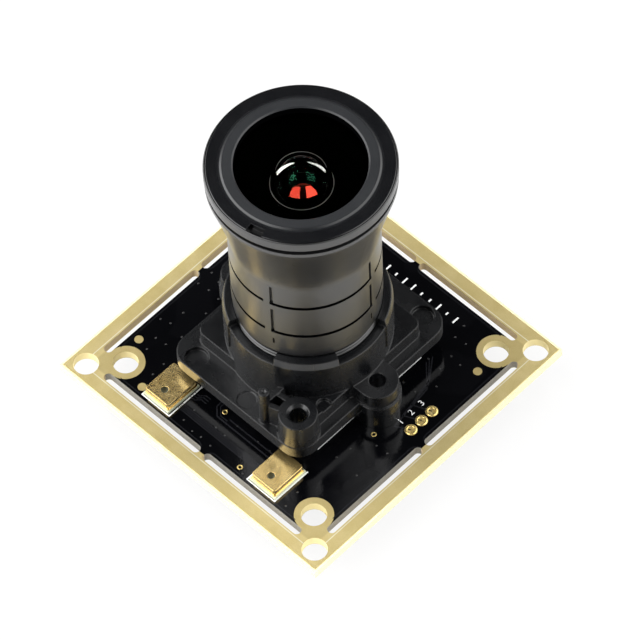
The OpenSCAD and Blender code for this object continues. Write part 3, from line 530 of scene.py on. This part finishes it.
def ribbon(path, width, height, z, closed=False):
    """Flat painted line: a rectangle of the given width and height along a path of x, y points,
    with mitred corners. Each corner moves along the sum of its two side normals, over one plus their
    product, so that the width stays even."""
    p = np.array(path, float)
    ahead = np.roll(p, -1, axis=0) - p
    if not closed:
        ahead[-1] = ahead[-2]
    ahead /= np.linalg.norm(ahead, axis=1, keepdims=True)
    behind = np.roll(ahead, 1, axis=0)
    if not closed:
        behind[0] = ahead[0]
    side_a = np.stack([-ahead[:, 1], ahead[:, 0]], axis=1)
    side_b = np.stack([-behind[:, 1], behind[:, 0]], axis=1)
    mitre = (side_a + side_b) / (1 + np.sum(side_a * side_b, axis=1, keepdims=True))
    left, right = p + mitre * width / 2, p - mitre * width / 2
    rows = np.stack([left, right, right, left], axis=1)
    heights = np.broadcast_to([z, z, z + height, z + height], rows.shape[:2])
    grid = np.concatenate([rows, heights[..., None]], axis=-1)
    faces = grid_faces(len(p), 4, closed, True)[:, ::-1].tolist()
    if not closed:
        last = 4 * (len(p) - 1)
        faces += [(0, 1, 2, 3), (last + 3, last + 2, last + 1, last)]
    return grid.reshape(-1, 3), faces


def arc_path(x, y, radius, start, stop, steps=24):
    a = np.radians(np.linspace(start, stop, steps))
    return np.stack([x + radius * np.cos(a), y + radius * np.sin(a)], axis=1)


def lens_thread():
    """Exposed screw thread of the barrel: a ridge with 60-degree flanks wound round the core.
    Height rises by one pitch a turn; the ridge grows from nothing and fades out over a sixth of a turn."""
    pitch, core, crest = 0.5, THREAD_CORE, THREAD_CREST
    low, high = TOWER_TOP - 0.45, THREAD_TOP - 0.24
    turns = (high - low) / pitch
    steps = int(turns * 96)
    t = np.linspace(0, turns, steps)
    grow = np.clip(np.minimum(t, turns - t) * 6, 0.02, 1)[:, None]
    radius = core + (crest - core) * grow * np.array([0.0, 1.0, 1.0, 0.0])
    rise = np.array([-0.232, -0.025, 0.025, 0.232]) * grow
    angle = (2 * np.pi * t)[:, None]
    z = low + pitch * t[:, None] + rise
    grid = np.stack([radius * np.cos(angle), radius * np.sin(angle), z], axis=-1)
    faces = grid_faces(steps, 4, False, True).tolist()
    last = 4 * (steps - 1)
    faces += [(0, 3, 2, 1), (last, last + 1, last + 2, last + 3)]
    black = barrel_finish("thread_black", 0.0)
    add_piece("lens_thread", grid.reshape(-1, 3), [f[::-1] for f in faces], black)


def white_paint():
    f = Finish("white_paint", Metallic=0.0, IOR=1.45)
    edge = f.noise(f.mm, 7.0, 3.0, 0.6)
    f.set("Base Color", f.mix(edge, rgb(0.86, 0.87, 0.87), rgb(0.97, 0.97, 0.96)))
    f.set("Roughness", f.ramp_to(edge, 0.3, 0.7, 0.45, 0.6))
    f.bump(edge, 0.004)
    return f.material


def board_paint():
    """White print on the board: outlines of the microphones and of the lens holder, rings round its
    lugs, a row of plain bars at the back edge and plain numbers at the wire pads."""
    z, h, w = BOARD_TOP - PRINT_SINK, 0.016, 0.16
    beside = 8.66      # lines along the sides of the lens holder
    lines = []
    for side in (-1, 1):
        x0, x1 = side * (mic_hi[0] + 0.06), side * (abs(mic_hi[0]) - 3.76 - 0.22)
        y0, y1 = mic_lo[1] - 0.14, mic_hi[1] + 0.2
        lines.append(ribbon([(x0, y1), (x0, y0), (x1, y0), (x1, y1)], w, h, z))
        lines.append(ribbon([(side * beside, -7.9), (side * beside, -2.4)], 0.14, h, z))
        lines.append(ribbon([(side * beside, 2.4), (side * beside, 8.0)], 0.14, h, z))
        turn = 0 if side > 0 else 180
        lines.append(ribbon(arc_path(side * LUG_X, 0, 2.2, turn - 112, turn + 112, 36), w, h, z))
    for i, length in enumerate((0.9, 0.4, 0.9, 0.9, 0.4, 0.4, 0.9, 0.4, 0.9)):
        x = -1.9 + i * 1.25
        lines.append(ribbon([(x, 13.95 - length / 2), (x, 13.95 + length / 2)], 0.2, h, z))
    points, faces = joined(lines)
    paint = white_paint()
    add_piece("board_print", points, faces, paint, smooth=False)
    for i in range(3):
        number(str(i + 1), (PAD_X - 1.5, PAD_Y + (i - 1) * PAD_STEP), 1.05, paint)


def number(text, place, size, paint):
    """One plain printed number, upright as seen from the microphones' side, turned into a mesh."""
    curve = bpy.data.curves.new("number", "FONT")
    curve.body, curve.size, curve.extrude = text, size * MM, 0.008 * MM
    curve.align_x, curve.align_y = "CENTER", "CENTER"
    curve.resolution_u = 3
    flat = bpy.data.objects.new("number_curve", curve)
    bpy.context.collection.objects.link(flat)
    bpy.context.view_layer.update()
    mesh = bpy.data.meshes.new_from_object(flat)
    bpy.data.objects.remove(flat)
    move = Matrix.Translation((place[0] * MM, place[1] * MM, (BOARD_TOP + 0.006) * MM))
    mesh.transform(move @ Matrix.Rotation(math.radians(90), 4, "Z"))
    mesh.materials.clear()
    mesh.materials.append(paint)
    piece = bpy.data.objects.new("pad_number_" + text, mesh)
    bpy.context.collection.objects.link(piece)
    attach(piece, ROOT)


def covered_traces():
    """Copper tracks below the mask: low ridges along the front edge, round the tab slots and to the pads."""
    z, h = BOARD_TOP - TRACE_SINK, 0.02
    lines = []
    edge = INNER_HALF - 0.33
    for turn in range(4):
        a = math.radians(90 * turn)
        for side in (-1, 1):
            path = [(13.0, edge), (1.15, edge), (0.75, edge + 0.15), (0.45, edge + 0.5)]
            path = np.array(path) * (side, 1)
            spun = np.stack([path[:, 0] * math.cos(a) - path[:, 1] * math.sin(a),
                             path[:, 0] * math.sin(a) + path[:, 1] * math.cos(a)], axis=1)
            lines.append(ribbon(spun, 0.07, h, z))
    for i in range(4):
        lines.append(ribbon([(-5.9, -13.55 - 0.22 * i), (5.8, -13.55 - 0.22 * i)], 0.1, h, z))
    lines.append(ribbon([(-2.95, -9.5), (-2.95, -11.3), (-2.05, -12.2), (5.9, -12.2)], 0.14, h, z))
    lines.append(ribbon([(-2.6, -9.5), (-2.6, -11.1), (-1.8, -11.9), (-0.8, -11.9)], 0.1, h, z))
    lines.append(ribbon([(-0.75, -11.6), (5.9, -11.6)], 0.12, h, z))
    for i in range(3):
        low, high, pad = -12.35 + 0.35 * i, -11.85 + 0.35 * i, PAD_Y + (i - 1) * PAD_STEP
        lines.append(ribbon([(-5.9, low), (-5.2, low), (-4.7, high), (-4.0, high)], 0.1, h, z))
        lines.append(ribbon([(PAD_X, pad), (12.6 - 0.3 * i, pad - 0.9), (11.9 - 0.3 * i, 5.5 + 0.5 * i),
                             (9.5, 7.9 + 0.5 * i)], 0.12, h, z))
    points, faces = joined(lines)
    mask = plain_finish("trace_mask", (0.12, 0.122, 0.135), 0.14, edge_mm=0, IOR=1.52)
    add_piece("covered_traces", points, faces, mask, smooth=False)


def in_the_way(x, y):
    """Whether a small via at x, y would meet a hole, pad, print line or part on the front."""
    ax, ay = abs(x), abs(y)
    if max(ax, ay) > INNER_HALF - 0.55 or math.hypot(ax - INNER_HOLE, ay - INNER_HOLE) < 2.5:
        return True
    if ax < 9.3 and ay < 11.4 or math.hypot(ax - LUG_X, y) < 2.7:
        return True
    if 5.4 < ax < 10.3 and y < -10.2:
        return True
    if 11.6 < x < 15.4 and 0.0 < y + 0.3 < 5.2 or -2.6 < x < 9.0 and 13.1 < y < 14.8:
        return True
    return any(math.hypot(x - vx, y - vy) < 0.7 for vx, vy in VIAS)


def covered_vias():
    """Vias closed by the mask: small domes at about half the points of a loose grid.
    The place of each is its grid point moved by a seeded random amount, up to the stray each way."""
    rng = np.random.default_rng(11)
    step_x, step_y, stray = 1.55, 1.96, 0.3
    spots = []
    for gx in np.arange(-15.3, 15.5, step_x):
        for gy in np.arange(-15.2, 15.4, step_y):
            x, y = gx + rng.uniform(-stray, stray), gy + rng.uniform(-stray, stray)
            if rng.random() < 0.5 and not in_the_way(x, y):
                spots.append((x, y))
    z = BOARD_TOP - VIA_SINK
    dome = [(0.02, z), (0.13, z), (0.11, z + 0.016), (0.07, z + 0.022), (0.04, z + 0.016),
            (0.02, z + 0.012)]
    points, faces = joined([turned(dome, x, y, 12) for x, y in spots])
    add_piece("covered_vias", points, faces, via_mask())


def via_mask():
    """Glossy black mask that thins to a paler spot over each via."""
    f = Finish("via_mask", Metallic=0.0, IOR=1.52)
    z = f.split(f.mm)[2]
    grain = f.noise(f.mm, 9.0, 2.0)
    height = f.ramp_to(z, BOARD_TOP + 0.004, BOARD_TOP + 0.016)
    spot = f.mix(grain, rgb(0.18, 0.18, 0.18), rgb(0.3, 0.3, 0.29))
    f.set("Base Color", f.mix(height, rgb(0.02, 0.02, 0.025), spot))
    f.set("Roughness", f.ramp_to(grain, 0.3, 0.7, 0.14, 0.24))
    return f.material


def plated_rims():
    """Domed plating round the wire pads and the open vias: half-round rings that sink to their hole."""
    z = BOARD_TOP - RIM_SINK
    parts = []
    for i in range(3):
        ring = [(0.375, z), (0.66, z), (0.65, z + 0.03), (0.58, z + 0.075), (0.48, z + 0.09),
                (0.41, z + 0.07), (0.375, z + 0.03)]
        parts.append(turned(ring, PAD_X, PAD_Y + (i - 1) * PAD_STEP, 40))
    for x, y in VIAS:
        rim = [(0.22, z), (0.3, z), (0.29, z + 0.02), (0.26, z + 0.03), (0.225, z + 0.02)]
        parts.append(turned(rim, x, y, 24))
    points, faces = joined(parts)
    pad_gold = gold_finish("pad_gold", rgb(0.93, 0.84, 0.56), rgb(0.85, 0.74, 0.44), 0.25, 0.8)
    add_piece("plated_rims", points, faces, pad_gold)


def red_coating_film():
    """Film of the red-reflecting coating just above the hollow of the front glass: a shell between two
    spheres round the hollow's centre, out to 61 degrees from the axis."""
    tilt = np.radians(np.linspace(0.4, 61, 48))
    outer, inner = BOWL_R + 0.07, BOWL_R + 0.03
    profile = [(outer * math.sin(t), BOWL_Z + outer * math.cos(t)) for t in tilt[::-1]]
    profile += [(inner * math.sin(t), BOWL_Z + inner * math.cos(t)) for t in tilt]
    points, faces = turned(profile, 0, 0, 96)
    film = coated_glass("red_coating", (1.0, 0.07, 0.04, 1.0), 2.4, bend=(2.31, -2.07, BOWL_Z + 5.28))
    add_piece("red_coating_film", points, faces, film)


def hollow_mouth():
    """Fine pale grey round wire at the mouth of the hollow in the front glass."""
    radius, height, wire_r = BOWL_R + 0.07, BOWL_Z - 0.65, 0.035
    turn = np.radians(np.arange(8) * 45)
    wire = [(radius + wire_r * math.cos(t), height + wire_r * math.sin(t)) for t in turn]
    points, faces = turned(wire, 0, 0, 96)
    # a plain pale grey wire that draws the mouth of the hollow as a light line
    mouth_grey = plain_finish("mouth_wire_grey", (0.5, 0.51, 0.5), 0.4, edge_mm=0)
    add_piece("hollow_edge", points, faces, mouth_grey)


def glint(name, radius, lean, spread, start, stop, width, material):
    """Thin crescent in the front glass, on a sphere round the hollow's centre. It follows the circle at
    the angle spread from an axis that points to the front corner and leans up from the horizon; its
    width rises from nothing to the full one and back as the sine of its share of the way."""
    a, e = math.radians(CORNER), math.radians(lean)
    axis = np.array([math.sin(a) * math.cos(e), -math.cos(a) * math.cos(e), math.sin(e)])
    side = np.array([math.cos(a), math.sin(a), 0.0])
    third = np.cross(axis, side)
    share = np.linspace(0.02, 0.98, 40)[:, None]
    t = np.radians(start + (stop - start) * share)
    half = width / 2 / radius * np.sin(np.pi * share)
    away = math.radians(spread) + half * np.array([-1.0, 1.0, 1.0, -1.0])
    shell = radius + np.array([0.0, 0.0, 0.02, 0.02])
    ring = np.cos(t)[..., None] * side + np.sin(t)[..., None] * third
    spoke = np.cos(away)[..., None] * axis + np.sin(away)[..., None] * ring
    grid = shell[:, None] * spoke + np.array([0.0, 0.0, BOWL_Z])
    faces = grid_faces(len(share), 4, False, True).tolist()
    last = 4 * (len(share) - 1)
    faces += [(0, 3, 2, 1), (last, last + 1, last + 2, last + 3)]
    p = grid.reshape(-1, 3)
    volume = sum(np.dot(p[f[0]], np.cross(p[f[k]], p[f[k + 1]])) for f in faces for k in (1, 2))
    if volume < 0:
        faces = [f[::-1] for f in faces]
    add_piece(name, p, faces, material)


def hollow_glints():
    """White reflections of the lamps along the upper edge of the hollow, and above them a painted
    reflection: a pale grey fine line.
    """
    white = coated_glass("glint_glass", (1.0, 1.0, 0.94, 1.0), 2.4, bend=(-1.26, 1.21, BOWL_Z - 4.06))
    glint("left_glint", BOWL_R + 0.1, 41.0, 65.0, 97.0, 172.0, 0.44, white)
    glint("right_glint", BOWL_R + 0.1, 41.0, 65.0, 8.0, 80.0, 0.36, white)
    # painted reflection: a pale grey strip that stands for the fine reflected line above the hollow
    fine = plain_finish("painted_reflection_line", (0.6, 0.6, 0.6), 0.4, edge_mm=0)
    glint("upper_glint", BOWL_R + 0.18, 90.0, 51.6, 8.0, 172.0, 0.07, fine)


red_coating_film()
hollow_mouth()
hollow_glints()
lens_thread()
board_paint()
covered_traces()
covered_vias()
plated_rims()


# --- stage, light and camera --------------------------------------------------------------------
def white_stage():
    """Pale floor that is mostly plain white where seen directly, so that only a soft shadow shows."""
    half = 1.2
    mesh = bpy.data.meshes.new("floor")
    z = (FLOOR_Z - 0.02) * MM      # a hair below the part, so that the two faces don't coincide
    corners = [(-half, -half, z), (half, -half, z), (half, half, z), (-half, half, z)]
    mesh.from_pydata(corners, [], [(0, 1, 2, 3)])
    floor = bpy.data.objects.new("floor", mesh)
    bpy.context.collection.objects.link(floor)
    material = bpy.data.materials.new("white_floor")
    material.use_nodes = True
    s = Shader(material.node_tree)
    s.tree.nodes.clear()
    lit = s.node("ShaderNodeBsdfDiffuse", {"Color": (0.72, 0.72, 0.72, 1.0)})
    white = s.node("ShaderNodeEmission", {"Color": (1.0, 1.0, 1.0, 1.0), "Strength": 1.0})
    ray = s.node("ShaderNodeLightPath").outputs["Is Camera Ray"]
    share = s.math("MULTIPLY", ray, 0.86)      # the rest shows the shadow
    blend = s.node("ShaderNodeMixShader", {0: share, 1: lit.outputs[0], 2: white.outputs[0]})
    s.node("ShaderNodeOutputMaterial", {0: blend.outputs[0]})
    mesh.materials.append(material)


def studio_world():
    """White studio: walls that fade from half-bright to a dark ceiling, plain white where seen directly."""
    world = bpy.data.worlds.new("studio")
    world.use_nodes = True
    bpy.context.scene.world = world
    s = Shader(world.node_tree)
    s.tree.nodes.clear()
    up = s.split(s.node("ShaderNodeTexCoord").outputs["Generated"])[2]
    level = s.ramp_to(up, math.sin(math.radians(14)), math.sin(math.radians(40)), 0.5, 0.02)
    soft = s.node("ShaderNodeBackground", {"Color": (1.0, 1.0, 1.0, 1.0), "Strength": level})
    white = s.node("ShaderNodeBackground", {"Color": (1.0, 1.0, 1.0, 1.0), "Strength": 1.0})
    ray = s.node("ShaderNodeLightPath").outputs["Is Camera Ray"]
    blend = s.node("ShaderNodeMixShader", {0: ray, 1: soft.outputs[0], 2: white.outputs[0]})
    s.node("ShaderNodeOutputWorld", {0: blend.outputs[0]})


def direction(azimuth, elevation):
    """Unit vector towards an azimuth round the lens axis, counted from -Y, and a height, in degrees."""
    a, e = math.radians(azimuth), math.radians(elevation)
    return Vector((math.sin(a) * math.cos(e), -math.cos(a) * math.cos(e), math.sin(e)))


def soft_box(name, azimuth, elevation, distance, size, power, aim=(0.0, 0.0, 0.015)):
    """Rectangular lamp at a direction round the lens axis, facing the part."""
    back = direction(azimuth, elevation)
    lamp = bpy.data.lights.new(name, "AREA")
    lamp.shape, lamp.size, lamp.size_y, lamp.energy = "RECTANGLE", size[0], size[1], power
    obj = bpy.data.objects.new(name, lamp)
    obj.location = Vector(aim) + back * distance
    obj.rotation_mode = "QUATERNION"
    obj.rotation_quaternion = back.to_track_quat("Z", "Y")
    bpy.context.collection.objects.link(obj)


def camera():
    """Long-lens view on the front corner of the board, turned a little about its axis."""
    azimuth, elevation, roll = 46.33, 56.36, math.radians(-2.82)
    distance, shift_x, shift_y = 606.94, 0.984, 3.938
    back = direction(azimuth, elevation)
    right = Vector((0, 0, 1)).cross(back).normalized()
    up = back.cross(right)
    right, up = right * math.cos(roll) + up * math.sin(roll), up * math.cos(roll) - right * math.sin(roll)
    place = back * distance + right * shift_x + up * shift_y + Vector((0, 0, BOARD_TOP))
    data = bpy.data.cameras.new("camera")
    data.lens, data.sensor_width = 319.5, 36.0
    data.clip_start, data.clip_end = 0.01, 10.0
    obj = bpy.data.objects.new("camera", data)
    turn = Matrix((right, up, back)).transposed()
    obj.matrix_world = Matrix.Translation(place * MM) @ turn.to_4x4()
    bpy.context.collection.objects.link(obj)
    bpy.context.scene.camera = obj


white_stage()
studio_world()
soft_box("key_left", -46, 40, 0.65, (1.16, 0.85), 14)
soft_box("key_right", 138, 40, 0.65, (1.16, 0.85), 8.5)
camera()
bpy.context.scene.view_settings.view_transform = "Standard"
